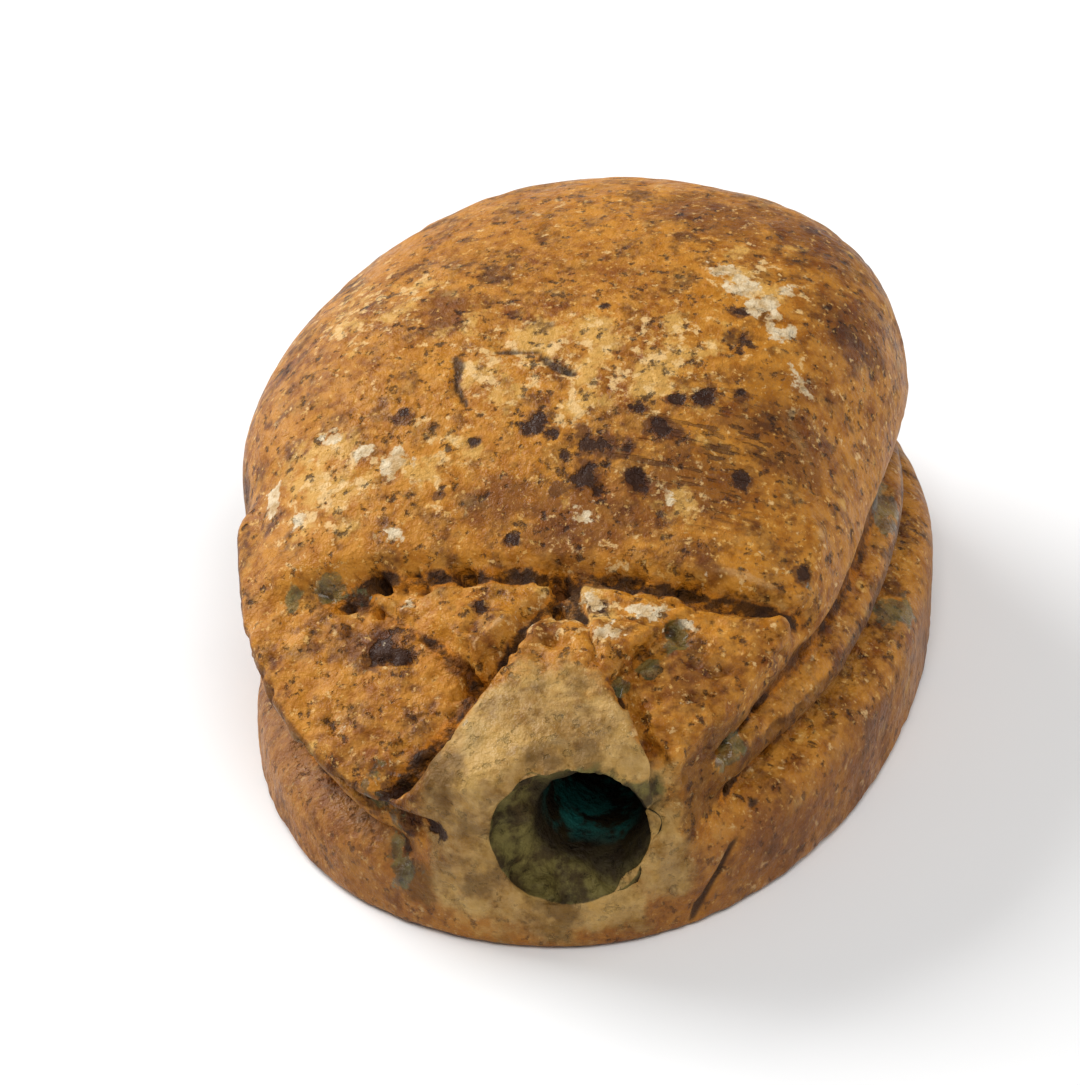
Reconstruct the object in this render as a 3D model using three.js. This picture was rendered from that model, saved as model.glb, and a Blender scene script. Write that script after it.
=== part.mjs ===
// Scarab amulet, carved from one piece of stone and drilled lengthwise for a string.
// Millimetres. +Z up from the flat underside, head towards -Y, origin at the centre of the underside.
import * as THREE from 'three';
import { mergeVertices } from 'three/addons/utils/BufferGeometryUtils.js';

// Driving dimensions.
const LENGTH = 17.8;
const WIDTH = 12.6;
const BASE_TOP = 1.65;
const BASE_TWIST = 3.9;
const BACK_RISE = 3.5;
const BACK_FOOT = 4.0;
const LEAN = 0.07;
const BORE_X = 1.38;
const BORE_Z = 2.62;
const BORE_RADIUS = 0.95;
const MOUTH_DEPTH = 1.15;

// Rings of the mesh, head to tail: [place on the bore axis, degrees from -Y, rings up to here].
const RINGS = [[-6.2, 32, 0], [-6.2, 90, 16], [-3.4, 90, 14], [0, 90, 6], [6.4, 90, 7], [6.4, 146, 8]];
const COLUMNS = 82;
const SAMPLES = 180;
const EVENING_PASSES = 5;
const MOUTH_STEPS = 4;

const { abs, sin, cos, hypot, max, min, sqrt } = Math;
const rad = THREE.MathUtils.degToRad;
const step = (a, b, t) => (a < b ? THREE.MathUtils.smoothstep(t, a, b) : 1 - THREE.MathUtils.smoothstep(t, b, a));

function softMax(a, b, k) {
  const h = THREE.MathUtils.clamp(0.5 + (0.5 * (a - b)) / k, 0, 1);
  return b + (a - b) * h + k * h * (1 - h);
}

const softMin = (a, b, k) => -softMax(-a, -b, k);
const bell = (t) => (1 - min(t, 1) ** 2) ** 2;

function turned(x, y, degrees) {
  const a = rad(degrees);
  return [x * cos(a) - y * sin(a), x * sin(a) + y * cos(a)];
}

// Plan distance to a superellipse, about a millimetre per millimetre near its edge.
function oval([x, y], a, b, n) {
  const k = (abs(x / a) ** n + abs(y / b) ** n) ** (1 / n);
  const r = hypot(x, y) + 1e-9;
  return r - r / max(k, 1e-6);
}

// The same for a domed body that stands on the level h = 0.
function hump([x, y], h, a, b, c, n, m) {
  const plan = (abs(x / a) ** n + abs(y / b) ** n) ** (1 / n);
  const rise = max(h, 0);
  const k = (plan ** m + (rise / c) ** m) ** (1 / m);
  const r = sqrt(x * x + y * y + rise * rise) + 1e-9;
  return r - r / max(k, 1e-6);
}

// Signed plan distance to the line from p to q, positive on its right.
function side(x, y, p, q) {
  const length = hypot(q[0] - p[0], q[1] - p[1]);
  return ((x - p[0]) * (q[1] - p[1]) - (y - p[1]) * (q[0] - p[0])) / length;
}

// A cut (or, with a negative depth, a ridge) that runs along a chain of points.
function cutAlong(points, width, depth) {
  const chain = points.map((p) => new THREE.Vector3(...p));
  const legs = chain.slice(1).map((end, i) => new THREE.Line3(chain[i], end));
  const foot = new THREE.Vector3();
  return (p) => {
    let near = Infinity;
    for (const leg of legs) {
      leg.closestPointToPoint(p, true, foot);
      near = min(near, foot.distanceTo(p));
    }
    return depth * bell(near / width);
  };
}

const CUTS = [
  // Edge of the pronotum across the neck, deepest at its two ends.
  cutAlong([[-6.4, -4.75, 3.8], [-4.95, -4.6, 4.55], [-3.5, -4.45, 4.95]], 0.5, 0.3),
  cutAlong([[-3.2, -4.3, 5.0], [-1.1, -4.2, 5.25], [0.74, -4.15, 5.35], [2.4, -4.1, 5.25]], 0.4, 0.16),
  cutAlong([[2.7, -4.25, 5.15], [3.95, -4.1, 4.95], [5.6, -3.7, 4.4]], 0.45, 0.26),
  // Both sides of the clypeus.
  cutAlong([[-0.8, -6.0, 4.7], [-1.04, -6.35, 4.45], [-1.28, -7.0, 4.1], [-1.7, -7.75, 3.7],
    [-2.15, -8.15, 3.0]], 0.42, 0.2),
  cutAlong([[1.5, -6.35, 4.5], [2.15, -7.3, 4.15], [2.75, -7.8, 3.6], [3.1, -7.95, 2.8]], 0.4, 0.24),
  // Raised right edge of the clypeus, and the nick in its middle.
  cutAlong([[0.9, -5.9, 5.0], [1.3, -6.5, 4.8], [1.9, -7.3, 4.5], [2.35, -7.95, 3.9]], 0.32, -0.08),
  cutAlong([[0.15, -5.5, 5.05], [0.2, -6.6, 4.85]], 0.3, 0.09),
  // Hollow under the left side of the head, and the pit below it.
  cutAlong([[-3.7, -7.2, 2.7], [-2.6, -8.05, 2.5], [-1.6, -8.65, 2.3]], 0.45, 0.26),
  cutAlong([[-2.6, -8.2, 2.2], [-2.2, -8.45, 1.5]], 0.42, 0.24),
];

// Height of the head: two side plates, the clypeus fan and the two-lobed shield behind it.
function headTop(x, y) {
  const ahead = -4.4 - y;
  const spread = max(-5.7 - y, 0);
  const aside = x - 0.3 - 0.1 * spread;
  const plate = 5.08 + LEAN * x - 0.021 * (x - 0.5) ** 2 - 0.24 * ahead - 0.05 * ahead * abs(ahead);
  const half = 0.5 + 0.65 * spread;
  const rise = 0.3 + 0.17 * spread - 0.06 * aside * aside;
  const fan = plate + rise * step(half + 0.3, half - 0.15, abs(aside)) * step(0.4, 1.2, ahead);
  const left = softMax(side(x, y, [-3.5, -4.6], [-1.1, -6.2]), side(x, y, [-0.95, -6.2], [-0.3, -4.9]), 0.3);
  const right = softMax(side(x, y, [0.7, -4.9], [1.3, -6.35]), side(x, y, [1.5, -6.35], [2.9, -4.2]), 0.3);
  const lobe = softMin(softMax(left, y + 4.1, 0.2), softMax(right, y + 4.0, 0.2), 0.1);
  const shield = 5.26 + 0.05 * x - 0.15 * ahead - 0.03 * aside * aside - 2.4 * max(lobe + 0.04, 0);
  return softMax(fan, shield, 0.1);
}

// Negative inside the stone, positive outside, close to millimetres near the surface.
function stone(p) {
  const { x, y, z } = p;
  const level = z - LEAN * x;
  const plan = oval(turned(x, y, BASE_TWIST), WIDTH / 2, LENGTH / 2, 2.15);
  const rightFlank = step(-1.0, 5.0, x) * step(-8.0, -5.0, y);

  // Base slab, the legs that run round above it, and the waist between them.
  const base = softMax(plan, level - BASE_TOP + 0.35 * plan, 0.55);
  const legPlan = plan + 0.28 + 0.36 * rightFlank;
  const legLevel = 2.65 - 0.55 * step(7.0, 8.6, -y);
  let legs = softMax(legPlan, abs(level - legLevel) * 0.75 - 0.32, 0.45);
  legs = softMax(legs, y - 8.0, 0.5);
  const top = headTop(x, y);
  const waistTop = softMax(level - 4.4, z - top + 0.4, 0.3);
  const waist = softMax(plan + 0.75 + 0.45 * rightFlank, waistTop, 0.4);

  // Wing cases and pronotum.
  const wingPlan = turned(x + 0.99, y - 2.2, 18.2);
  const wingLevel = z - BACK_FOOT - 0.128 * wingPlan[0] - 0.023 * wingPlan[1];
  const wings = hump(wingPlan, wingLevel, 6.02, 6.66, BACK_RISE, 2.315, 2.6);
  const pronotumPlan = turned(x + 0.56, y - 0.8, 1.5);
  const pronotum = hump(pronotumPlan, z - 3.9 - 0.075 * x, 5.92, 6.6, 2.95, 3.6, 2.1);
  let back = softMin(wings, pronotum, 0.6);
  back = softMax(back, (z - 5.55 - 0.06 * x - 0.5 * (y + 4.4)) * 0.9, 1.3);
  back = softMax(back, side(x, y, [-6.0, -4.65], [5.6, -3.95]), 0.3);

  // Head, lower than the pronotum, and the undercut below both.
  let head = softMax(oval(turned(x + 1.05, y, -6.0), 5.85, 8.72, 2.3), z - top, 0.28);
  head = softMax(head, y + 2.0, 0.5);
  const undercut = 3.75 - 0.024 * max(-y - 1, 0) ** 2;
  const upper = softMax(softMin(back, head, 0.2), (undercut - level) * 0.8, 0.5);

  // Plain front that the string hole is drilled into.
  let face = softMax(plan + 0.03, abs(x - 1.1) - 1.95 - 0.85 * step(3.0, 1.6, z), 0.7);
  face = softMax(softMax(face, z - top, 0.35), y + 5.5, 0.3);

  let f = softMin(softMin(waist, legs, 0.3), upper, 0.2);
  f = softMin(softMin(f, face, 0.5), base, 0.15);
  f = softMax(f, -z, 0.25);
  return CUTS.reduce((sum, cut) => sum + cut(p), f);
}

// Walks out from the axis of the bore to the surface. A ring is [place on the axis, angle from -Y].
function onSurface(ring, around) {
  const [place, along] = ring;
  const axis = new THREE.Vector3(BORE_X, place, BORE_Z);
  const out = new THREE.Vector3(sin(along) * sin(around), -cos(along), sin(along) * cos(around));
  const p = new THREE.Vector3();
  let near = 0.3;
  let far = 9;
  for (let i = 0; i < 22; i += 1) {
    const reach = (near + far) / 2;
    if (stone(p.copy(axis).addScaledVector(out, reach)) < 0) near = reach;
    else far = reach;
  }
  if (abs(p.z) < 1e-4) p.z = 0;
  return p;
}

function ringList() {
  const list = [];
  RINGS.forEach(([place, along, steps], i) => {
    const [fromPlace, fromAlong] = i ? RINGS[i - 1] : [place, along];
    for (let k = i ? 1 : 0; k <= steps; k += 1) {
      const t = steps ? k / steps : 0;
      list.push([THREE.MathUtils.lerp(fromPlace, place, t), rad(THREE.MathUtils.lerp(fromAlong, along, t))]);
    }
  });
  return list;
}

// Angles around one ring, from the underside and back to it, closer together where the outline turns.
function anglesAround(ring) {
  const turns = Array.from({ length: SAMPLES + 1 }, (_, i) => Math.PI * (1 + (2 * i) / SAMPLES));
  const outline = turns.map((around) => onSurface(ring, around));
  const legs = outline.slice(1).map((p, i) => p.clone().sub(outline[i]));
  const bends = legs.map((leg, i) => leg.angleTo(legs[(i + 1) % SAMPLES]));
  const total = [0];
  legs.forEach((leg, i) => {
    const flat = outline[i].z === 0 && outline[i + 1].z === 0;
    const bend = bends[i] + bends[(i + SAMPLES - 1) % SAMPLES];
    total.push(total[i] + leg.length() * (flat ? 0.3 : 1) + 0.28 * min(bend, 1));
  });
  const angles = [];
  for (let k = 0, i = 0; k < COLUMNS; k += 1) {
    const goal = (total[SAMPLES] * k) / COLUMNS;
    while (total[i + 1] < goal) i += 1;
    angles.push(THREE.MathUtils.mapLinear(goal, total[i], total[i + 1], turns[i], turns[i + 1]));
  }
  return angles;
}

// Mouth of the string hole, worn wide at the rim, then the straight bore.
function inMouth(rim, around, t) {
  const wide = hypot(rim.x - BORE_X, rim.z - BORE_Z);
  const worn = 0.24 * t * (1 - t) * (sin(3 * around + 1) + sin(5 * around));
  const r = THREE.MathUtils.lerp(wide, BORE_RADIUS, 1 - (1 - t) ** 2) + worn;
  const y = rim.y - Math.sign(rim.y) * MOUTH_DEPTH * t;
  return new THREE.Vector3(BORE_X + r * sin(around), y, BORE_Z + r * cos(around));
}

// Evens the angles out from ring to ring, so that the lines of the mesh run smoothly head to tail.
function evened(angles) {
  const last = angles.length - 1;
  return angles.map((ring, j) => ring.map((a, i) => (angles[max(j - 1, 0)][i] + 2 * a + angles[min(j + 1, last)][i]) / 4));
}

function carve() {
  const rings = ringList();
  let angles = rings.map(anglesAround);
  for (let pass = 0; pass < EVENING_PASSES; pass += 1) angles = evened(angles);
  const loops = rings.map((ring, j) => angles[j].map((around) => onSurface(ring, around)));
  const headAngles = angles[0];
  const tailAngles = angles[angles.length - 1];
  const headRim = loops[0];
  const tailRim = loops[loops.length - 1];
  for (let k = 1; k <= MOUTH_STEPS; k += 1) {
    loops.push(tailRim.map((p, i) => inMouth(p, tailAngles[i], k / MOUTH_STEPS)));
  }
  for (let k = MOUTH_STEPS; k >= 1; k -= 1) {
    loops.push(headRim.map((p, i) => inMouth(p, headAngles[i], k / MOUTH_STEPS)));
  }
  loops.push(headRim);
  const torus = new THREE.TorusGeometry(1, 0.5, loops.length - 1, COLUMNS);
  torus.deleteAttribute('uv');
  torus.deleteAttribute('normal');
  const place = torus.getAttribute('position');
  loops.forEach((loop, j) => {
    [...loop, loop[0]].forEach((p, i) => place.setXYZ(j * (COLUMNS + 1) + i, p.x, p.y, p.z));
  });
  const solid = mergeVertices(torus, 1e-5);
  solid.computeVertexNormals();
  return solid;
}

const stoneMaterial = new THREE.MeshStandardMaterial({ color: 0xb07a3c, roughness: 0.62, metalness: 0 });
stoneMaterial.name = 'glazed_stone';

const scarab = new THREE.Mesh(carve(), stoneMaterial);
scarab.name = 'scarab';

const part = new THREE.Group();
part.name = 'scarab_amulet';
part.add(scarab);

export default part;
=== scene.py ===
"""A scarab amulet of glazed stone: worn carving, a drilled string hole, and a white table to stand on."""
import math
import bpy
import numpy as np
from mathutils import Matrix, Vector


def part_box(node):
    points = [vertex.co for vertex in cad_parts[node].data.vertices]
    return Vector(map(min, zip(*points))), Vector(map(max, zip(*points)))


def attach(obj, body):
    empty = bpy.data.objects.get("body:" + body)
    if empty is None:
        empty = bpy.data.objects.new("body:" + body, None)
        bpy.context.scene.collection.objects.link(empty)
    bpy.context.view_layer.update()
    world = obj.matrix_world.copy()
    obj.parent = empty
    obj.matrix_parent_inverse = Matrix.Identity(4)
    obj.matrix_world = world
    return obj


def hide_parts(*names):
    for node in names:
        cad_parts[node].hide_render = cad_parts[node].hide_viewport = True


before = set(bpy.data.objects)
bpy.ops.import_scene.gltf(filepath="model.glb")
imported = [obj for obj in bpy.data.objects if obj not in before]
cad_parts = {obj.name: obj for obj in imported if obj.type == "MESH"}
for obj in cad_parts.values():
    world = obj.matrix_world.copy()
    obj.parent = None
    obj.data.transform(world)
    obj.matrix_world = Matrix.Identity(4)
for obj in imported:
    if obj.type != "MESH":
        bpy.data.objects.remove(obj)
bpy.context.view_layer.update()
low, high = (Vector(corner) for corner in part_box("scarab"))
CARVED_LENGTH = 17.847  # millimetres, along the solid's box
MM = (high.y - low.y) / CARVED_LENGTH
SCENE = bpy.context.scene


# ---------------------------------------------------------------- camera, in degrees and millimetres

CAMERA_TURN, CAMERA_TILT, CAMERA_DISTANCE = 11.0, 36.5, 150
AIM_HEIGHT, AIM_LEFT = 3, 1.147
LENS, SENSOR = 256, 36


def place_camera():
    """A long lens from above the head, a little to its right, aimed just left of the middle."""
    turn, tilt = math.radians(CAMERA_TURN), math.radians(CAMERA_TILT)
    back = Vector((math.sin(turn) * math.cos(tilt), -math.cos(turn) * math.cos(tilt), math.sin(tilt)))
    right = Vector((math.cos(turn), math.sin(turn), 0))
    middle = Vector((0, 0, AIM_HEIGHT * MM))
    spot = middle + back * (CAMERA_DISTANCE * MM)
    aim = middle - right * AIM_LEFT * MM
    bpy.ops.object.select_all(action="DESELECT")
    bpy.ops.object.camera_add(location=spot)
    camera = bpy.context.object
    camera.name = "camera"
    camera.rotation_euler = (aim - spot).to_track_quat("-Z", "Y").to_euler()
    camera.data.lens = LENS
    camera.data.sensor_width = SENSOR
    camera.data.clip_start = 0.005
    camera.data.clip_end = 20
    SCENE.camera = camera


place_camera()


# ---------------------------------------------------------------- shape of the stone, in millimetres

# Driving dimensions, the same as the solid's.
LENGTH, WIDTH = 17.8, 12.6
BASE_TOP, BASE_TWIST = 1.65, 3.9
BACK_RISE, BACK_FOOT = 3.5, 4.0
LEAN = 0.07
BORE_X, BORE_Z, BORE_RADIUS = 1.38, 2.62, 0.95
MOUTH_DEPTH = 1.15
FACE_X = 1.1

# Rings of the mesh, head to tail: (place on the bore axis, degrees from -Y, rings up to here).
RINGS = [(-6.2, 32, 0), (-6.2, 90, 62), (-3.4, 90, 46), (0.0, 90, 30), (6.4, 90, 36), (6.4, 146, 34)]
COLUMNS = 384
SAMPLES = 240
EVENING_PASSES = 60
MOUTH_STEPS = 16
BORE_STEPS = 6


def soft_max(a, b, k):
    h = np.clip(0.5 + 0.5 * (a - b) / k, 0, 1)
    return b + (a - b) * h + k * h * (1 - h)


def soft_min(a, b, k):
    return -soft_max(-a, -b, k)


def ease(a, b, t):
    t = np.clip((t - a) / (b - a), 0, 1)
    return t * t * (3 - 2 * t)


def bell(t):
    return (1 - np.minimum(t, 1) ** 2) ** 2


def turned(x, y, degrees):
    a = np.radians(degrees)
    return x * np.cos(a) - y * np.sin(a), x * np.sin(a) + y * np.cos(a)


def oval(xy, a, b, n):
    """Plan distance to a superellipse."""
    k = (np.abs(xy[0] / a) ** n + np.abs(xy[1] / b) ** n) ** (1 / n)
    r = np.hypot(*xy) + 1e-9
    return r - r / np.maximum(k, 1e-6)


def base_outline(x, y):
    """Plan distance to the edge of the base."""
    return oval(turned(x, y, BASE_TWIST), WIDTH / 2, LENGTH / 2, 2.15)


def hump(xy, h, a, b, c, n, m):
    """A domed body that stands on the level h = 0."""
    plan = (np.abs(xy[0] / a) ** n + np.abs(xy[1] / b) ** n) ** (1 / n)
    rise = np.maximum(h, 0)
    k = (plan**m + (rise / c) ** m) ** (1 / m)
    r = np.sqrt(xy[0] ** 2 + xy[1] ** 2 + rise**2) + 1e-9
    return r - r / np.maximum(k, 1e-6)


def side(x, y, p, q):
    """Signed plan distance to the line from p to q, positive on its right."""
    length = np.hypot(q[0] - p[0], q[1] - p[1])
    return ((x - p[0]) * (q[1] - p[1]) - (y - p[1]) * (q[0] - p[0])) / length


def near_line(p, points):
    """Distance to a chain of points."""
    best = np.full(p.shape[:-1], np.inf)
    for a, b in zip(points[:-1], points[1:]):
        a, b = np.array(a), np.array(b)
        leg = b - a
        t = np.clip(((p - a) @ leg) / (leg @ leg), 0, 1)
        best = np.minimum(best, np.linalg.norm(p - a - t[..., None] * leg, axis=-1))
    return best


# Carved lines: the points they run along, their half width and depth. A negative depth is a ridge.
CUTS = {
    "neck_left": ([(-6.4, -4.75, 3.8), (-4.95, -4.6, 4.55), (-3.5, -4.45, 4.95)], 0.5, 0.3),
    "neck_middle": ([(-3.2, -4.3, 5.0), (-1.1, -4.2, 5.25), (0.74, -4.15, 5.35),
                     (2.4, -4.1, 5.25)], 0.4, 0.12),
    "neck_right": ([(2.7, -4.25, 5.15), (3.95, -4.1, 4.95), (5.6, -3.7, 4.4)], 0.45, 0.26),
    "left_of_fan": ([(-0.8, -6.0, 4.7), (-1.04, -6.35, 4.45), (-1.28, -7.0, 4.1), (-1.7, -7.75, 3.7),
                     (-2.15, -8.15, 3.0)], 0.42, 0.2),
    "right_of_fan": ([(1.5, -6.35, 4.5), (2.15, -7.3, 4.15), (2.75, -7.8, 3.6),
                      (3.1, -7.95, 2.8)], 0.4, 0.24),
    "fan_edge": ([(0.9, -5.9, 5.0), (1.3, -6.5, 4.8), (1.9, -7.3, 4.5), (2.35, -7.95, 3.9)], 0.32, -0.08),
    "fan_nick": ([(0.15, -5.5, 5.05), (0.2, -6.6, 4.85)], 0.3, 0.09),
    "left_recess": ([(-3.7, -7.2, 2.7), (-2.6, -8.05, 2.5), (-1.6, -8.65, 2.3)], 0.45, 0.26),
    "left_pit": ([(-2.6, -8.2, 2.2), (-2.2, -8.45, 1.5)], 0.42, 0.24),
}


def over_fan(x, y):
    """How far a place lies down the fan at the front of the head, and how far aside of its middle line."""
    spread = np.maximum(-5.7 - y, 0)
    return spread, x - 0.3 - 0.1 * spread


def head_top(x, y):
    """Height of the head: side plates, the fan at the front and the two-lobed shield behind it."""
    ahead = -4.4 - y
    spread, aside = over_fan(x, y)
    plate = 5.08 + LEAN * x - 0.021 * (x - 0.5) ** 2 - 0.24 * ahead - 0.05 * ahead * np.abs(ahead)
    half = 0.5 + 0.65 * spread
    rise = 0.3 + 0.17 * spread - 0.06 * aside**2
    fan = plate + rise * ease(half + 0.3, half - 0.15, np.abs(aside)) * ease(0.4, 1.2, ahead)
    left = soft_max(side(x, y, (-3.5, -4.6), (-1.1, -6.2)), side(x, y, (-0.95, -6.2), (-0.3, -4.9)), 0.3)
    right = soft_max(side(x, y, (0.7, -4.9), (1.3, -6.35)), side(x, y, (1.5, -6.35), (2.9, -4.2)), 0.3)
    lobe = soft_min(soft_max(left, y + 4.1, 0.2), soft_max(right, y + 4.0, 0.2), 0.1)
    shield = 5.26 + 0.05 * x - 0.15 * ahead - 0.03 * aside**2 - 2.4 * np.maximum(lobe + 0.04, 0)
    return soft_max(fan, shield, 0.1)


def foot_form(x, y, level, head_level):
    """The legs that run round above the base, and the waist inside them."""
    plan = base_outline(x, y)
    right_flank = ease(-1.0, 5.0, x) * ease(-8.0, -5.0, y)
    leg_level = 2.65 - 0.55 * ease(7.0, 8.6, -y)
    legs = soft_max(plan + 0.28 + 0.36 * right_flank, np.abs(level - leg_level) * 0.75 - 0.32, 0.45)
    legs = soft_max(legs, y - 8.0, 0.5)
    waist = soft_max(plan + 0.75 + 0.45 * right_flank, soft_max(level - 4.4, head_level + 0.4, 0.3), 0.4)
    return soft_min(waist, legs, 0.3)


def upper_form(x, y, z, head_level):
    """Wing cases, pronotum and the lower head, with the undercut below them."""
    wing = turned(x + 0.99, y - 2.2, 18.2)
    wings = hump(wing, z - BACK_FOOT - 0.128 * wing[0] - 0.023 * wing[1], 6.02, 6.66, BACK_RISE, 2.315, 2.6)
    pronotum = hump(turned(x + 0.56, y - 0.8, 1.5), z - 3.9 - 0.075 * x, 5.92, 6.6, 2.95, 3.6, 2.1)
    back = soft_min(wings, pronotum, 0.6)
    back = soft_max(back, (z - 5.55 - 0.06 * x - 0.5 * (y + 4.4)) * 0.9, 1.3)
    back = soft_max(back, side(x, y, (-6.0, -4.65), (5.6, -3.95)), 0.3)
    head = soft_max(oval(turned(x + 1.05, y, -6.0), 5.85, 8.72, 2.3), head_level, 0.28)
    head = soft_max(head, y + 2.0, 0.5)
    undercut = 3.75 - 0.024 * np.maximum(-y - 1, 0) ** 2
    return soft_max(soft_min(back, head, 0.2), (undercut - (z - LEAN * x)) * 0.8, 0.5)


def stone(p):
    """Negative inside the stone, positive outside."""
    x, y, z = p[..., 0], p[..., 1], p[..., 2]
    level = z - LEAN * x
    plan = base_outline(x, y)
    head_level = z - head_top(x, y)
    base = soft_max(plan, level - BASE_TOP + 0.35 * plan, 0.55)
    face = soft_max(plan + 0.03, np.abs(x - FACE_X) - 1.95 - 0.85 * ease(3.0, 1.6, z), 0.7)
    face = soft_max(soft_max(face, head_level, 0.35), y + 5.5, 0.3)
    f = soft_min(foot_form(x, y, level, head_level), upper_form(x, y, z, head_level), 0.2)
    f = soft_min(soft_min(f, face, 0.5), base, 0.15)
    f = soft_max(f, -z, 0.25)
    for points, width, depth in CUTS.values():
        f = f + depth * bell(near_line(p, points) / width)
    return f


def on_surface(place, along, around):
    """Walks out from the axis of the bore to the surface; along is the angle from the head end."""
    start = np.stack([np.full_like(around, BORE_X), place + 0 * around, np.full_like(around, BORE_Z)], -1)
    out = [np.sin(along) * np.sin(around), -np.cos(along) + 0 * around, np.sin(along) * np.cos(around)]
    out = np.stack(out, -1)
    near, far = np.full(around.shape, 0.3), np.full(around.shape, 9.0)
    for _ in range(20):
        reach = (near + far) / 2
        inside = stone(start + out * reach[..., None]) < 0
        near, far = np.where(inside, reach, near), np.where(inside, far, reach)
    p = start + out * reach[..., None]
    p[np.abs(p[..., 2]) < 1e-4, 2] = 0
    return p


def ring_list():
    """Every ring's place on the bore axis and its angle, evenly spaced between those in RINGS."""
    rings = [RINGS[0][:2]]
    for (place, along, steps), (from_place, from_along, _) in zip(RINGS[1:], RINGS[:-1]):
        for t in np.arange(1, steps + 1) / steps:
            rings.append((from_place + (place - from_place) * t, from_along + (along - from_along) * t))
    place, along = np.array(rings).T
    return place[:, None], np.radians(along)[:, None]


def angles_around(place, along):
    """Angles round every ring, closer together where the outline turns."""
    turns = np.tile(np.linspace(np.pi, 3 * np.pi, SAMPLES + 1), (len(place), 1))
    outline = on_surface(place, along, turns)
    legs = np.diff(outline, axis=1)
    length = np.linalg.norm(legs, axis=-1)
    heading = legs / np.maximum(length, 1e-9)[..., None]
    bend = np.arccos(np.clip((heading * np.roll(heading, -1, 1)).sum(-1), -1, 1))
    flat = (outline[:, 1:, 2] == 0) & (outline[:, :-1, 2] == 0)
    weight = length * np.where(flat, 0.3, 1.0) + 0.2 * np.minimum(bend + np.roll(bend, 1, 1), 1)
    total = np.concatenate([np.zeros((len(place), 1)), np.cumsum(weight, 1)], 1)
    goals = np.arange(COLUMNS) / COLUMNS
    angles = np.stack([np.interp(goals * t[-1], t, a) for t, a in zip(total, turns)])
    for _ in range(EVENING_PASSES):
        padded = np.concatenate([angles[:1], angles, angles[-1:]])
        angles = (padded[:-2] + 2 * angles + padded[2:]) / 4
    return angles


def in_mouth(rim, around, t):
    """The string hole's mouth, worn wide at the rim."""
    wide = np.hypot(rim[:, 0] - BORE_X, rim[:, 2] - BORE_Z)
    worn = 0.24 * t * (1 - t) * (np.sin(3 * around + 1) + np.sin(5 * around))
    r = wide + (BORE_RADIUS - wide) * (1 - (1 - t) ** 2) + worn
    y = rim[:, 1] - np.sign(rim[:, 1]) * MOUTH_DEPTH * t
    return np.stack([BORE_X + r * np.sin(around), y, BORE_Z + r * np.cos(around)], -1)


def carved_grid():
    """Loops of points from the head's rim over the outside to the tail's rim, and back through the bore."""
    place, along = ring_list()
    angles = angles_around(place, along)
    outside = on_surface(place, along, angles)
    inside = [in_mouth(outside[-1], angles[-1], t) for t in np.arange(1, MOUTH_STEPS + 1) / MOUTH_STEPS]
    head_end = [in_mouth(outside[0], angles[0], t) for t in np.arange(1, MOUTH_STEPS + 1) / MOUTH_STEPS]
    for t in np.arange(1, BORE_STEPS) / BORE_STEPS:
        inside.append(inside[MOUTH_STEPS - 1] * (1 - t) + head_end[-1] * t)
    return np.concatenate([outside, np.stack(inside + head_end[::-1])])


# ---------------------------------------------------------------- fine relief, in millimetres

PIT_DEPTH = 0.10
CHIP_DEPTH = 0.3
CRACK_WIDTH, CRACK_DEPTH = 0.15, 0.07


def lattice(i, j, k, seed):
    """A random value from 0 to 1 for each whole-numbered place."""
    h = (i * 374761393 + j * 668265263 + k * 2147483647 + seed * 974711).astype(np.uint64)
    h = (h ^ (h >> np.uint64(13))) * np.uint64(1274126177)
    return ((h ^ (h >> np.uint64(16))) & np.uint64(0xFFFF)).astype(float) / 65535


def grain(p, size, seed, layers=1):
    """Smooth random values from 0 to 1 whose features are about size millimetres across."""
    total, share = np.zeros(p.shape[:-1]), 0.0
    for layer in range(layers):
        q = p / (size / 2**layer) + 40 + 7.3 * layer
        q = np.stack([q[..., 0] * 0.8 + q[..., 1] * 0.6, q[..., 1] * 0.8 - q[..., 0] * 0.6, q[..., 2]], -1)
        cell = np.floor(q).astype(np.int64)
        f = q - cell
        f = f * f * f * (f * (f * 6 - 15) + 10)
        value = 0
        for a in (0, 1):
            for b in (0, 1):
                for c in (0, 1):
                    w = abs(1 - a - f[..., 0]) * abs(1 - b - f[..., 1]) * abs(1 - c - f[..., 2])
                    corner = lattice(cell[..., 0] + a, cell[..., 1] + b, cell[..., 2] + c, seed + layer)
                    value = value + w * corner
        total += value * 0.5**layer
        share += 0.5**layer
    return total / share


def grid_normals(p):
    """Directions square to the surface; the grid closes up both ways."""
    along = np.roll(p, -1, 0) - np.roll(p, 1, 0)
    across = np.roll(p, -1, 1) - np.roll(p, 1, 1)
    n = np.cross(across, along)
    return n / np.maximum(np.linalg.norm(n, axis=-1), 1e-9)[..., None]


def smoothed(values, passes):
    for _ in range(passes):
        lengthwise = np.roll(values, 1, 0) + np.roll(values, -1, 0)
        values = (lengthwise + np.roll(values, 1, 1) + np.roll(values, -1, 1) + 2 * values) / 6
    return values


def spots(p, places):
    """Patches, (x, y, z, radius) in millimetres, each fading out at its ragged edge."""
    drift = np.stack([grain(p, 0.9, 41 + i, 3) - 0.5 for i in range(3)], -1) * 1.1
    best = np.zeros(p.shape[:-1])
    for x, y, z, radius in places:
        reach = np.linalg.norm(p + drift * min(radius, 0.8) - (x, y, z), axis=-1) / (1.5 * radius)
        best = np.maximum(best, bell(reach))
    return best


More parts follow.
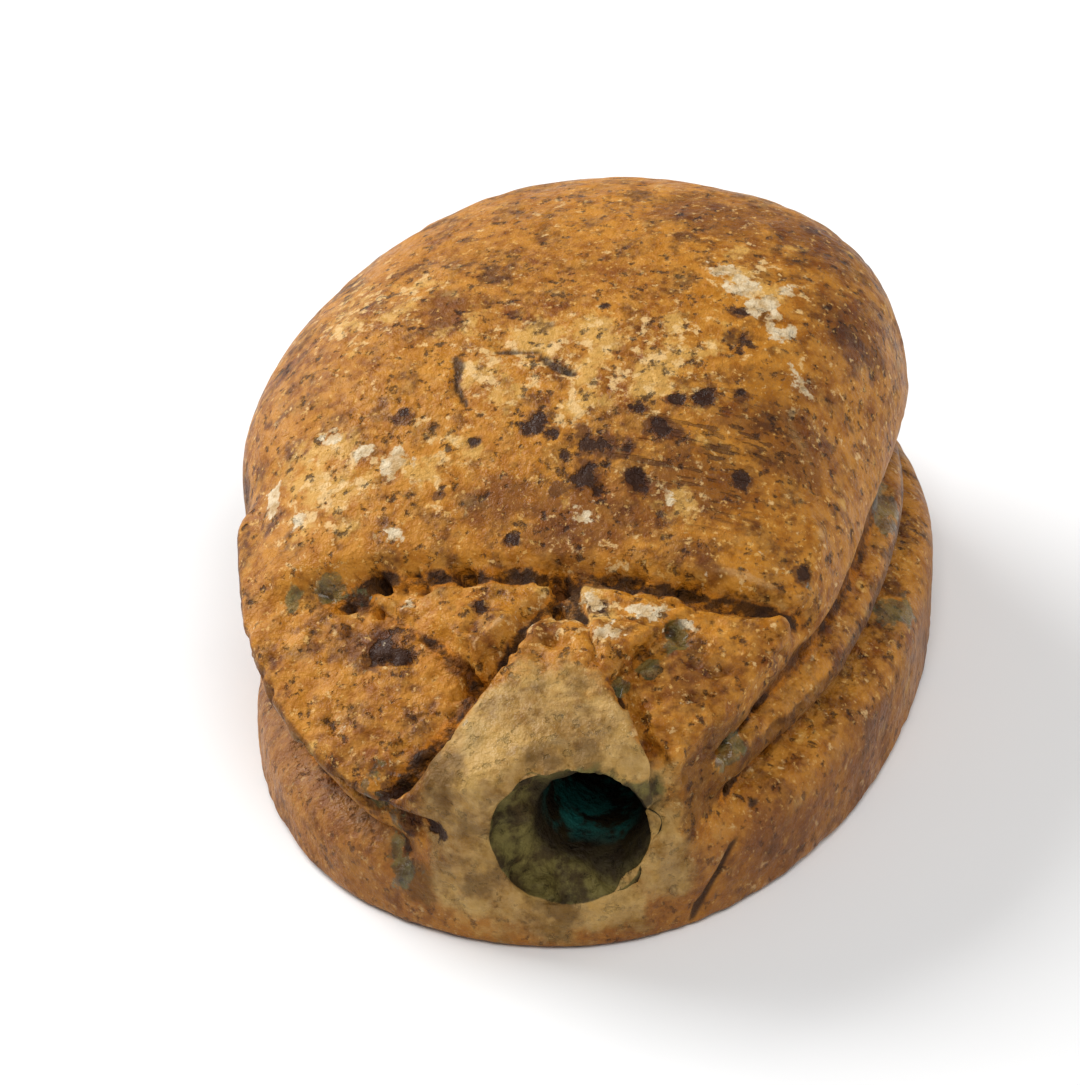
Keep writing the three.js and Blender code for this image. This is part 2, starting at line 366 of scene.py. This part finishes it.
CRACKS = [
    [(-2.06, 0.34, 7.18), (-1.7, 0.1, 7.2), (-1.25, 0.05, 7.21), (-0.85, -0.2, 7.21), (-0.41, -0.3, 7.22)],
    [(-2.91, -0.04, 6.98), (-2.7, -0.4, 6.9), (-2.62, -0.67, 6.87), (-2.35, -1.05, 6.79)],
    [(4.35, -5.9, 2.3), (4.2, -6.16, 2.0), (3.89, -6.95, 1.5), (3.5, -7.45, 0.6), (3.4, -7.6, 0.0)],
    [(-3.4, -6.7, 4.1), (-2.7, -6.75, 4.2), (-1.9, -6.6, 4.35)],
]

# Worn spots in the form: (x, y, z, radius).
PITS = [
    (-1.84, -5.67, 4.78, 0.3), (-1.4, -5.95, 4.7, 0.25), (-0.85, -6.25, 4.5, 0.3), (2.0, -6.25, 4.67, 0.3),
    (2.25, -5.6, 4.9, 0.25), (-2.3, -5.3, 4.8, 0.2), (-3.8, -4.75, 4.6, 0.3), (0.55, -2.7, 6.35, 0.22),
    (1.3, -2.55, 6.45, 0.22), (1.1, -6.3, 4.9, 0.2), (2.45, 1.0, 7.55, 0.2), (-2.06, 0.34, 7.2, 0.16),
    (-0.1, -6.1, 4.9, 0.2), (0.35, -5.9, 5.0, 0.18), (2.6, -5.1, 4.9, 0.2),
]
CHIPS = [
    (-0.1, -8.75, 2.5, 0.45), (2.8, -8.0, 2.7, 0.35), (0.5, -8.7, 1.5, 0.35), (0.4, -8.6, 3.9, 0.3),
    (2.3, -8.2, 1.5, 0.3),
]

# Spots that the finish follows, by the name of their mask.
PATCHES = {
    "white": [
        (1.8, 3.0, 7.67, 0.42), (2.25, 2.65, 7.6, 0.5), (2.75, 2.1, 7.58, 0.5), (3.25, 1.5, 7.3, 0.42),
        (3.8, 0.6, 7.0, 0.42), (3.1, 2.9, 7.5, 0.3), (-5.95, -2.4, 4.8, 0.42), (-4.9, -1.6, 5.9, 0.35),
        (-4.2, -2.1, 6.0, 0.3), (-3.5, -2.4, 6.0, 0.35), (-3.2, -3.8, 5.4, 0.3), (-5.2, -3.1, 5.0, 0.3),
        (0.34, -3.1, 6.1, 0.3), (1.9, -2.6, 6.4, 0.3), (0.2, -4.77, 5.2, 0.35), (0.95, -4.8, 5.2, 0.42),
        (1.9, -4.85, 5.1, 0.42), (1.3, -5.6, 5.1, 0.35), (-0.2, -5.3, 5.1, 0.3), (0.5, -3.2, 6.1, 0.2),
        (-2.7, -4.9, 4.9, 0.3), (-3.6, -7.2, 3.6, 0.3), (2.6, -4.9, 5.0, 0.25), (3.9, -5.0, 4.6, 0.25),
        (3.0, -6.5, 4.3, 0.2),
    ],
    "cream": [
        (-1.9, 0.0, 7.1, 1.3), (-0.4, 0.1, 7.25, 1.4), (1.0, 0.2, 7.3, 1.3), (-2.8, -2.2, 6.3, 1.0),
        (-4.8, -2.6, 5.5, 1.2), (2.0, -2.7, 6.4, 0.7), (-0.3, -1.2, 6.9, 0.6), (-4.6, 2.0, 6.3, 1.5),
        (2.4, 3.0, 7.6, 1.0), (0.6, -4.8, 5.2, 1.2),
    ],
    "stain_and_shade": [
        (0.2, -1.9, 6.66, 0.55), (0.25, -2.4, 6.4, 0.5), (0.5, -2.75, 6.3, 0.26), (1.3, -2.5, 6.4, 0.34),
        (1.45, -1.45, 6.9, 0.4), (-1.05, -1.5, 6.76, 0.4), (-0.6, -1.7, 6.7, 0.22), (-2.0, -1.9, 6.5, 0.2),
        (2.5, 0.95, 7.5, 0.42), (2.05, -0.55, 7.2, 0.34), (-0.9, -3.75, 5.7, 0.24), (0.3, -3.9, 5.8, 0.22),
        (-0.3, -2.8, 6.3, 0.2), (1.9, -3.2, 6.2, 0.3), (-2.9, -5.9, 4.3, 0.6), (-3.6, -1.4, 6.5, 0.25),
        (3.2, -2.0, 6.4, 0.3), (2.7, -0.3, 7.1, 0.22), (1.0, -4.9, 5.2, 0.25), (-1.2, -5.1, 5.1, 0.25),
        # The four spots on this line and the first one on the next lie in the recess at the left front, under
        # the overhang of the head: painted shade there, not stains.
        (-3.6, -7.2, 2.8, 0.4), (-2.9, -7.8, 2.6, 0.5), (-2.2, -8.25, 2.5, 0.5), (-1.5, -8.6, 2.35, 0.4),
        (-2.3, -8.4, 1.9, 0.4), (3.1, -5.8, 4.6, 0.4), (0.9, -1.9, 6.8, 0.22), (4.6, -3.3, 5.4, 0.22),
        (2.4, 1.8, 7.6, 0.22), (0.9, -1.0, 7.0, 0.26), (-2.5, -3.0, 6.0, 0.2), (1.6, -0.7, 7.15, 0.22),
        (-0.2, 1.5, 7.5, 0.2), (-1.9, 1.2, 7.3, 0.2),
    ],
    "glaze": [
        (-5.2, -4.55, 4.1, 0.35), (-4.35, -4.45, 4.5, 0.4), (-3.9, -4.55, 4.5, 0.35), (2.56, -5.2, 4.9, 0.45),
        (1.6, -6.4, 4.5, 0.3), (2.1, -6.0, 4.7, 0.3), (-2.45, -8.3, 1.9, 0.55), (-2.1, -8.5, 1.3, 0.4),
        (3.6, -6.35, 3.3, 0.5), (-2.5, -7.9, 2.6, 0.6), (-5.6, -4.6, 2.2, 0.6), (5.5, 1.5, 3.4, 0.8),
        (-0.9, -7.6, 4.1, 0.3), (4.75, -3.4, 5.3, 0.2), (5.9, 0.0, 2.2, 0.7),
    ],
    "russet_and_shade": [
        # Russet washes; most lie on the right of the back, where they are also painted shade.
        (3.6, -0.4, 6.7, 1.7), (2.4, -2.6, 6.4, 1.5), (0.3, -3.4, 6.0, 1.3), (1.4, 5.4, 7.4, 1.7),
        (3.2, 5.2, 7.2, 1.6), (-1.6, -3.2, 6.0, 1.0), (-3.6, -5.6, 4.3, 1.1), (0.2, -5.0, 5.2, 1.0),
        (3.2, -5.6, 4.6, 1.0), (4.4, 2.6, 6.9, 1.2), (-3.0, 1.6, 6.9, 0.9), (5.6, -3.0, 1.2, 1.6),
        (4.6, -5.8, 1.2, 1.4),
    ],
    "smudge": [
        (-1.5, -8.5, 3.4, 0.8), (-0.6, -8.8, 2.9, 0.7), (-0.4, -8.9, 1.6, 0.7), (1.0, -9.0, 0.9, 0.8),
        (0.6, -8.3, 4.2, 0.5), (1.5, -8.3, 4.3, 0.45), (0.1, -6.9, 4.6, 0.4), (0.9, -7.0, 4.7, 0.35),
        (-0.5, -7.3, 4.3, 0.4), (-1.7, -8.7, 1.2, 0.7), (2.5, -8.6, 1.2, 0.5),
    ],
    "hatch": [
        (1.6, -1.9, 6.8, 1.0), (2.7, -2.0, 6.6, 1.1), (3.4, -1.2, 6.6, 0.9), (2.2, -0.9, 7.1, 0.8),
    ],
}


def along_cracks(p):
    wander = (grain(p, 0.5, 31) - 0.5)[..., None] * 0.25
    return np.max([bell(near_line(p + wander, line) / CRACK_WIDTH) for line in CRACKS], 0)


def form_masks(p, n, outside):
    """Where the form is hollow, sharp, inside the string hole, on the pale front and so on, from 0 to 1."""
    x, y, z = p[..., 0], p[..., 1], p[..., 2]
    hollow = np.zeros(p.shape[:-1])
    for passes, share in ((8, 2.2), (40, 2.2), (150, 1.4)):
        hollow += share * ((smoothed(p, passes) - p) * n).sum(-1)
    sharp = ease(-0.012, -0.06, smoothed(((smoothed(p, 10) - p) * n).sum(-1), 2))
    bore = np.hypot(x - BORE_X, z - BORE_Z)
    lip = ease(1.9, 1.35, bore) * ease(7.0, 7.8, np.abs(y)) * (0.35 + 0.65 * ease(2.3, 3.6, z))
    spread, aside = over_fan(x, y)
    fan = ease(0.25, -0.25, np.abs(aside) - 0.45 - 0.62 * spread) * ease(-5.2, -6.6, y)
    from_face = np.abs(x - FACE_X)
    face = ease(3.3, 2.2, from_face) * ease(-7.3, -8.0, y) * ease(0.5, 1.5, z)
    front = smoothed(np.maximum(fan * ease(-5.4, -7.4, y), face), 6)
    front *= ease(2.0, 3.2, z + 2.2 * ease(3.2, 2.0, from_face))
    return {
        "hollow": ease(0.02, 0.35, smoothed(hollow, 2)),
        "edge": sharp,
        "throat": np.where(outside, 0.7 * lip, 1),
        "inner": np.where(outside, 0, ease(8.35, 7.9, np.abs(y))),
        "front": front,
        "flank": ease(1.7, 2.6, z) * ease(4.6, 3.6, z) * ease(0.6, 0.2, n[..., 2]) * (1 - front),
        "wash": ease(-7.6, -7.0, y) * ease(-4.6, -5.4, y) * ease(1.0, 0.6, np.abs(x - 1.25)),
        "band": ease(2.2, 1.6, z) * ease(0.3, 1.0, from_face - 2.2 + ease(-6, -7, -np.abs(y)) * 9),
        "crack": along_cracks(p),
    }


def relief(p, masks):
    """Height of the hand-cut unevenness, pits, chips and cracks over the form, all but its flat underside."""
    deep = masks["hollow"]
    head = ease(-3.9, -4.6, p[..., 1]) * ease(2.3, 3.2, p[..., 2])
    rough_stone = head * (1 - 0.8 * masks["front"])
    mouth = masks["throat"] * (1 - masks["inner"])
    cut = 0.055 * (grain(p, 3.2, 3, 2) - 0.5) + 0.05 * (grain(p, 1.1, 5, 2) - 0.5)
    cut += (0.035 + 0.1 * deep + 0.1 * rough_stone) * (grain(p, 0.36, 7, 2) - 0.5)
    cut -= (0.05 + 0.10 * deep) * ease(0.64, 0.82, grain(p, 0.28, 11)) * (0.3 + 1.2 * rough_stone + deep)
    cut -= PIT_DEPTH * spots(p, PITS)
    cut -= CRACK_DEPTH * masks["crack"]
    cut -= mouth * (0.24 * ease(0.4, 0.75, grain(p, 0.8, 17)) + 0.22 * (grain(p, 0.3, 19, 2) - 0.5))
    cut -= CHIP_DEPTH * spots(p, CHIPS)
    return np.where(p[..., 2] < 0.02, 0, cut)


def under_relief(p, n):
    """How far a border line and scratches are cut up into the underside."""
    x, y, z = p[..., 0], p[..., 1], p[..., 2]
    under = ease(0.25, 0.0, z) * ease(-0.9, -0.99, n[..., 2])
    border = bell(np.abs(base_outline(x, y) + 0.9) / 0.16)
    scratches = ease(0.62, 0.7, grain(np.stack([x * 3, y * 0.35 + x * 0.3, z], -1), 0.9, 23))
    return np.where(under > 0.5, 0.07 * border + 0.012 * scratches, 0)


def worn(p, outside):
    """Adds the fine relief, and returns it with the masks that the finish follows."""
    p = smoothed(p, 2)
    n = grid_normals(p)
    masks = form_masks(p, n, outside)
    rise = under_relief(p, n)
    p = p + n * relief(p, masks)[..., None]
    p[..., 2] = np.maximum(p[..., 2], 0) + rise
    for name, places in PATCHES.items():
        masks[name] = spots(p, places)
    return p, masks


def carve_scarab():
    """One closed mesh: a grid joined along both pairs of edges, with the masks as values at its points."""
    p = carved_grid()
    rows = len(p)
    outside = np.zeros(p.shape[:2], bool)
    outside[: sum(steps for _, _, steps in RINGS) + 1] = True
    p, masks = worn(p, outside)
    bpy.ops.object.select_all(action="DESELECT")
    bpy.ops.mesh.primitive_grid_add(x_subdivisions=COLUMNS, y_subdivisions=rows, size=10 * MM)
    scarab = bpy.context.object
    scarab.name = "carved_scarab"
    mesh = scarab.data
    wrapped = np.pad(p * MM, ((0, 1), (0, 1), (0, 0)), mode="wrap")
    mesh.vertices.foreach_set("co", wrapped.astype(np.float32).ravel())
    for name, values in masks.items():
        values = np.pad(values, ((0, 1), (0, 1)), mode="wrap").astype(np.float32)
        mesh.attributes.new(name, "FLOAT", "POINT").data.foreach_set("value", values.ravel())
    mesh.update()
    while mesh.uv_layers:
        mesh.uv_layers.remove(mesh.uv_layers[0])
    bpy.ops.object.mode_set(mode="EDIT")
    bpy.ops.mesh.select_all(action="SELECT")
    bpy.ops.mesh.remove_doubles(threshold=1e-7)
    bpy.ops.mesh.normals_make_consistent(inside=False)
    bpy.ops.object.mode_set(mode="OBJECT")
    bpy.ops.object.shade_smooth()
    return scarab


scarab = carve_scarab()


# ---------------------------------------------------------------- finish, sizes in millimetres

# Pigments by their daylight look, 0 to 255, and how much of that light the stone gives back.
GIVEN_BACK = 0.78
PIGMENTS = {
    "ochre": (132, 68, 0), "honey": (176, 106, 10), "sand": (210, 138, 34), "rust": (82, 38, 0),
    "straw": (232, 162, 62), "russet_and_shade": (104, 48, 4), "cream": (232, 180, 92), "crumb": (244, 202, 136),
    "umber": (66, 28, 2), "pitch": (36, 15, 3), "dust": (248, 196, 112), "scratch": (66, 34, 12),
    "base_band": (140, 90, 52), "clay": (146, 106, 40), "bone": (206, 166, 92), "clay_shadow": (106, 74, 26),
    "bone_fleck": (226, 196, 140), "smudge": (84, 54, 12), "rubbed_edge_and_highlight": (222, 176, 118),
    "cut_shadow": (96, 46, 0), "cut_orange": (204, 122, 8), "hollow_shade": (34, 16, 2), "flank_shade": (70, 34, 4),
    "stain_and_shade_halo": (84, 42, 14), "stain_and_shade": (50, 24, 8), "flake": (206, 170, 116),
    "flake_light": (246, 226, 188), "glaze_shadow": (38, 52, 34), "glaze": (100, 104, 58),
    "olive_shadow": (34, 28, 8), "olive": (112, 104, 54), "bore": (34, 22, 4), "teal": (20, 128, 120),
    "crack": (40, 24, 14),
}
CLOUD_ROUGHNESS = 0.62
BUMP_HEIGHT = 0.12


def paint(name):
    def straight(c):
        c = c / 255
        return c / 12.92 if c <= 0.04045 else ((c + 0.055) / 1.055) ** 2.4
    return tuple(GIVEN_BACK * straight(c) for c in PIGMENTS[name]) + (1.0,)


class Tree:
    """Short calls to add and link nodes."""

    def __init__(self, tree):
        self.tree, self.count = tree, 0

    def add(self, kind, inputs=None, **settings):
        node = self.tree.nodes.new(kind)
        node.location = (self.count % 12 * 220, -(self.count // 12) * 260)
        self.count += 1
        for key, value in settings.items():
            setattr(node, key, value)
        for key, value in (inputs or {}).items():
            if isinstance(value, bpy.types.NodeSocket):
                self.tree.links.new(value, node.inputs[key])
            else:
                node.inputs[key].default_value = value
        return node

    def maths(self, operation, *values, clamp=False):
        inputs = dict(enumerate(values))
        return self.add("ShaderNodeMath", inputs, operation=operation, use_clamp=clamp).outputs[0]

    def between(self, value, start, end, to_start=0.0, to_end=1.0):
        inputs = {"Value": value, "From Min": start, "From Max": end, "To Min": to_start, "To Max": to_end}
        return self.add("ShaderNodeMapRange", inputs, interpolation_type="SMOOTHSTEP").outputs["Result"]

    def mix(self, share, under, over):
        inputs = {0: share, 6: under, 7: over}
        return self.add("ShaderNodeMix", inputs, data_type="RGBA", blend_type="MIX").outputs[2]

    def noise(self, place, scale, **more):
        inputs = {"Vector": place, "Scale": scale, **more}
        return self.add("ShaderNodeTexNoise", inputs, noise_dimensions="3D").outputs["Fac"]


def ragged_group():
    """A patch with a torn edge: where it lies, how wide its tears are and how far they wander."""
    group = bpy.data.node_groups.new("ragged_patch", "ShaderNodeTree")
    for name in ("Mask", "Size", "Tear", "Softness"):
        group.interface.new_socket(name, in_out="INPUT", socket_type="NodeSocketFloat")
    for name in ("Place", "Shift"):
        group.interface.new_socket(name, in_out="INPUT", socket_type="NodeSocketVector")
    group.interface.new_socket("Patch", in_out="OUTPUT", socket_type="NodeSocketFloat")
    t = Tree(group)
    given = t.add("NodeGroupInput").outputs
    moved = t.add("ShaderNodeVectorMath", {0: given["Place"], 1: given["Shift"]}, operation="ADD").outputs[0]
    scale = t.maths("DIVIDE", 0.5, given["Size"])
    cloud = t.noise(moved, scale, Detail=4.0, Roughness=CLOUD_ROUGHNESS)
    tear = t.maths("MULTIPLY", t.maths("SUBTRACT", cloud, 0.5), given["Tear"])
    value = t.maths("ADD", given["Mask"], tear)
    start = t.maths("SUBTRACT", 0.5, given["Softness"])
    end = t.maths("ADD", 0.5, given["Softness"])
    t.add("NodeGroupOutput", {"Patch": t.between(value, start, end)})
    return group


class StoneTree(Tree):
    """The stone's nodes, and the calls that its coats of pigment share. A seed moves clouds and tears."""

    def __init__(self, tree):
        super().__init__(tree)
        self.ragged, self.masks = ragged_group(), {}
        metres = self.add("ShaderNodeTexCoord").outputs["Object"]
        scaled = self.add("ShaderNodeVectorMath", {0: metres, "Scale": 1 / MM}, operation="SCALE")
        self.place = scaled.outputs[0]
        self.medium = self.between(self.cloud(0.6, 2, 4.0), 0.36, 0.64)
        self.fine = self.between(self.cloud(0.14, 3), 0.35, 0.65)

    def mask(self, name):
        """One of the masks that worn() made."""
        if name not in self.masks:
            self.masks[name] = self.add("ShaderNodeAttribute", attribute_name=name).outputs["Fac"]
        return self.masks[name]

    def cloud(self, size, seed, detail=3.0):
        """Cloudy values from 0 to 1, around size millimetres across."""
        shift = (seed * 7.1, seed * 3.7, seed * 5.3)
        moved = self.add("ShaderNodeVectorMath", {0: self.place, 1: shift}, operation="ADD").outputs[0]
        return self.noise(moved, 0.5 / size, Detail=detail, Roughness=CLOUD_ROUGHNESS)

    def patch(self, mask, size, seed, tear=1.8, softness=0.08):
        """A torn patch where the mask is strong, or torn crumbs everywhere where it is one low number."""
        inputs = {"Mask": mask, "Place": self.place, "Size": size, "Tear": tear, "Softness": softness,
                  "Shift": (seed * 3.3, seed * 8.1, seed * 4.7)}
        return self.add("ShaderNodeGroup", inputs, node_tree=self.ragged).outputs[0]

    def some(self, mask, amount):
        return self.maths("MULTIPLY", mask, amount)

    def coat(self, colour, mask, amount, over):
        """Lays one colour over another; where the mask is 1, amount says how well it covers."""
        return self.mix(self.some(mask, amount), colour, over)


def ground_coat(t):
    """Mottled ochre, from broad clouds down to fine grain."""
    broad = t.between(t.cloud(2.2, 1), 0.38, 0.62)
    colour = t.mix(broad, paint("ochre"), paint("honey"))
    colour = t.coat(colour, t.medium, 0.55, paint("sand"))
    colour = t.coat(colour, t.between(t.cloud(0.34, 4, 4.0), 0.48, 0.64), 0.75, paint("rust"))
    return t.coat(colour, t.fine, 0.5, paint("straw"))


def weathered(t, colour):
    """Russet washes, also painted shade on the right of the back, cream washes, and brown patches where there
    is no cream.
    """
    cream = t.mask("cream")
    # Russet coat: the stone's own tone, and on the right of the back also painted shade.
    russet_and_shade = t.patch(t.some(t.mask("russet_and_shade"), 0.75), 0.5, 26, 1.9, 0.25)
    colour = t.coat(colour, russet_and_shade, 0.65, paint("russet_and_shade"))
    creamy = t.patch(t.maths("MULTIPLY_ADD", cream, 0.42, 0.12), 0.4, 5, 2.0, 0.12)
    colour = t.coat(colour, creamy, 0.7, paint("cream"))
    crumbs = t.patch(t.maths("MULTIPLY_ADD", cream, 0.25, 0.17), 0.13, 6, 2.0, 0.10)
    colour = t.coat(colour, crumbs, 0.8, paint("crumb"))
    browned = t.patch(t.maths("MULTIPLY_ADD", t.maths("SUBTRACT", 1.0, cream), 0.14, 0.12), 0.5, 7, 1.9, 0.12)
    return t.coat(colour, browned, 0.7, paint("umber"))


def speckled(t, colour):
    """Dark specks and pale dust all over. Also gives the specks, which lie a little lower."""
    speck = t.patch(0.24, 0.12, 8, 2.0, 0.12)
    colour = t.coat(colour, speck, 0.8, paint("pitch"))
    dust = t.patch(0.22, 0.07, 25, 2.0, 0.1)
    return t.coat(colour, dust, 0.6, paint("dust")), speck


def scratched(t, colour):
    """Scratches side by side across the hatched spots. Also gives the scratches."""
    inputs = {"Vector": t.place, "Rotation": (0.0, 0.0, 0.12), "Scale": (0.5, 5.0, 5.0)}
    drawn_out = t.add("ShaderNodeMapping", inputs).outputs[0]
    scratch = t.some(t.between(t.noise(drawn_out, 1.6, Detail=2.0), 0.56, 0.62), t.mask("hatch"))
    return t.coat(colour, scratch, 0.7, paint("scratch")), scratch


def front_coat(t, colour):
    """The plainer band of the base, the pale front round the string hole, its smudges, and sharp edges paled
    partly by rubbing and partly by a painted highlight.
    """
    colour = t.coat(colour, t.mask("band"), 0.45, paint("base_band"))
    pale = t.mix(t.medium, paint("clay"), paint("bone"))
    pale = t.coat(pale, t.between(t.cloud(0.3, 9, 4.0), 0.52, 0.66), 0.6, paint("clay_shadow"))
    pale = t.coat(pale, t.fine, 0.3, paint("bone_fleck"))
    colour = t.coat(colour, t.patch(t.mask("front"), 0.4, 10, 2.2, 0.35), 0.8, pale)
    smudge = t.patch(t.some(t.mask("smudge"), 0.8), 0.35, 27, 2.0, 0.25)
    colour = t.coat(colour, smudge, 0.6, paint("smudge"))
    # Pale along sharp edges: rubbed wear, and partly a painted highlight.
    edge = t.patch(t.some(t.mask("edge"), 0.8), 0.35, 11, 1.4, 0.2)
    return t.coat(colour, edge, 0.5, paint("rubbed_edge_and_highlight"))


def hollow_coat(t, colour):
    """Orange in the cuts, painted shade in the deepest hollows, and painted shade on the steep flank."""
    hollow = t.mask("hollow")
    orange = t.mix(t.between(t.cloud(0.22, 12, 4.0), 0.4, 0.6), paint("cut_shadow"), paint("cut_orange"))
    colour = t.coat(colour, t.between(hollow, 0.1, 0.6), 0.8, orange)
    # Painted shade: a near-black coat where the form is most hollow.
    hollow_shade = t.patch(t.maths("MULTIPLY_ADD", hollow, 0.72, -0.08), 0.26, 13, 2.0, 0.14)
    colour = t.coat(colour, hollow_shade, 0.85, paint("hollow_shade"))
    shade = t.patch(t.some(t.mask("flank"), 0.8), 0.5, 24, 1.8, 0.3)
    return t.coat(colour, shade, 0.6, paint("flank_shade"))


def stain_and_shade_coat(t, colour):
    """Dark stains with a halo, and painted shade in the recess at the left front in the same colours, then
    white flakes over them. Also gives the stains and that shade.
    """
    halo = t.patch(t.some(t.mask("stain_and_shade"), 0.95), 0.26, 14, 2.2, 0.14)
    colour = t.coat(colour, halo, 0.75, paint("stain_and_shade_halo"))
    stain_and_shade = t.patch(t.some(t.mask("stain_and_shade"), 0.72), 0.18, 15, 1.7, 0.08)
    colour = t.coat(colour, stain_and_shade, 0.9, paint("stain_and_shade"))
    flake = t.patch(t.some(t.mask("white"), 0.72), 0.16, 16, 2.0, 0.08)
    return t.coat(colour, flake, 0.9, t.mix(t.fine, paint("flake"), paint("flake_light"))), stain_and_shade


def glaze_coat(t, colour):
    """Green remains of glaze. Also gives where they lie."""
    glazed = t.patch(t.some(t.mask("glaze"), 0.8), 0.26, 17, 2.0, 0.1)
    green = t.mix(t.between(t.cloud(0.2, 18, 4.0), 0.42, 0.6), paint("glaze_shadow"), paint("glaze"))
    return t.coat(colour, glazed, 0.65, green), glazed


def mouth_coat(t, colour):
    """Olive in the mouth of the string hole, and further in painted shade in dark brown with a teal wash.
    Also gives the teal wash.
    """
    rim = t.patch(t.mask("throat"), 0.35, 19, 1.3, 0.15)
    olive = t.mix(t.between(t.cloud(0.25, 20, 5.0), 0.4, 0.62), paint("olive_shadow"), paint("olive"))
    colour = t.coat(colour, rim, 0.9, olive)
    teal_wash = t.some(t.between(t.cloud(0.35, 21), 0.42, 0.56), t.mask("wash"))
    # Painted shade: the inside of the bore is laid over in dark brown, with the teal wash at its far floor.
    return t.coat(colour, t.mask("inner"), 0.92, t.mix(teal_wash, paint("bore"), paint("teal"))), teal_wash


def old_stone():
    """The coats of pigment, then how rough, glossy and uneven the surface is."""
    material = bpy.data.materials.new("glazed_stone")
    material.use_nodes = True
    material.node_tree.nodes.clear()
    t = StoneTree(material.node_tree)
    hollow, throat, inner = t.mask("hollow"), t.mask("throat"), t.mask("inner")

    colour, speck = speckled(t, weathered(t, ground_coat(t)))
    colour, scratch = scratched(t, colour)
    colour, stain_and_shade = stain_and_shade_coat(t, hollow_coat(t, front_coat(t, colour)))
    colour, glazed = glaze_coat(t, colour)
    colour, teal_wash = mouth_coat(t, colour)
    colour = t.coat(colour, t.between(t.mask("crack"), 0.3, 0.85), 0.85, paint("crack"))

    rough = t.between(t.cloud(0.45, 22, 4.0), 0.3, 0.7, 0.38, 0.62)
    rough = t.maths("ADD", rough, t.some(t.maths("MAXIMUM", hollow, throat), 0.2))
    rough = t.maths("SUBTRACT", rough, t.some(glazed, 0.15), clamp=True)
    gloss = t.maths("MAXIMUM", t.some(inner, teal_wash), t.some(glazed, 0.4), clamp=True)

    height = t.some(t.cloud(0.09, 23), t.maths("MULTIPLY_ADD", hollow, 1.2, 0.8))
    height = t.maths("SUBTRACT", height, t.some(t.maths("ADD", speck, stain_and_shade), 0.35))
    height = t.maths("SUBTRACT", height, t.some(scratch, 0.4))
    inputs = {"Height": height, "Distance": BUMP_HEIGHT * MM, "Strength": 0.9}
    bump = t.add("ShaderNodeBump", inputs).outputs[0]
    shader = t.add("ShaderNodeBsdfPrincipled", {"Base Color": colour, "Roughness": rough, "Normal": bump,
                                                "Coat Weight": gloss, "Coat Roughness": 0.15,
                                                "Specular IOR Level": 0.2})
    t.add("ShaderNodeOutputMaterial", {"Surface": shader.outputs[0]})
    return material


scarab.data.materials.clear()
scarab.data.materials.append(old_stone())
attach(scarab, "root")
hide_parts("scarab")


# ---------------------------------------------------------------- table and light, in metres

LAMP_AIM = Vector((0, 0, 0.004))


def table_top():
    """White card, just under the stone so that their faces don't coincide."""
    bpy.ops.object.select_all(action="DESELECT")
    bpy.ops.mesh.primitive_plane_add(size=1.2, location=(0, 0.2, -0.02 * MM))
    table = bpy.context.object
    table.name = "white_table"
    bpy.ops.object.transform_apply(location=True, rotation=True, scale=True)
    material = bpy.data.materials.new("white_card")
    material.use_nodes = True
    t = Tree(material.node_tree)
    shader = material.node_tree.nodes["Principled BSDF"]
    cloud = t.noise(t.add("ShaderNodeTexCoord").outputs["Object"], 60.0, Detail=3.0)
    colour = t.mix(cloud, (0.88, 0.88, 0.88, 1), (0.91, 0.91, 0.91, 1))
    material.node_tree.links.new(colour, shader.inputs["Base Color"])
    shader.inputs["Roughness"].default_value = 0.7
    table.data.materials.append(material)


def lamp(name, spot, size, power):
    bpy.ops.object.select_all(action="DESELECT")
    bpy.ops.object.light_add(type="AREA", location=spot)
    light = bpy.context.object
    light.name = name
    light.rotation_euler = (LAMP_AIM - Vector(spot)).to_track_quat("-Z", "Y").to_euler()
    light.data.shape = "RECTANGLE"
    light.data.size, light.data.size_y = size
    light.data.energy = power


def pale_room():
    world = bpy.data.worlds.new("pale_room")
    world.use_nodes = True
    background = world.node_tree.nodes["Background"]
    background.inputs["Color"].default_value = (1, 1, 1, 1)
    background.inputs["Strength"].default_value = 0.3
    SCENE.world = world


table_top()
lamp("left_window", (-0.33, 0.14, 0.23), (0.26, 0.24), 1.95)
lamp("top_window", (0.06, -0.18, 0.34), (0.20, 0.18), 0.72)
lamp("right_card", (0.26, 0.16, 0.12), (0.16, 0.12), 0.25)
pale_room()
SCENE.view_settings.view_transform = "Standard"
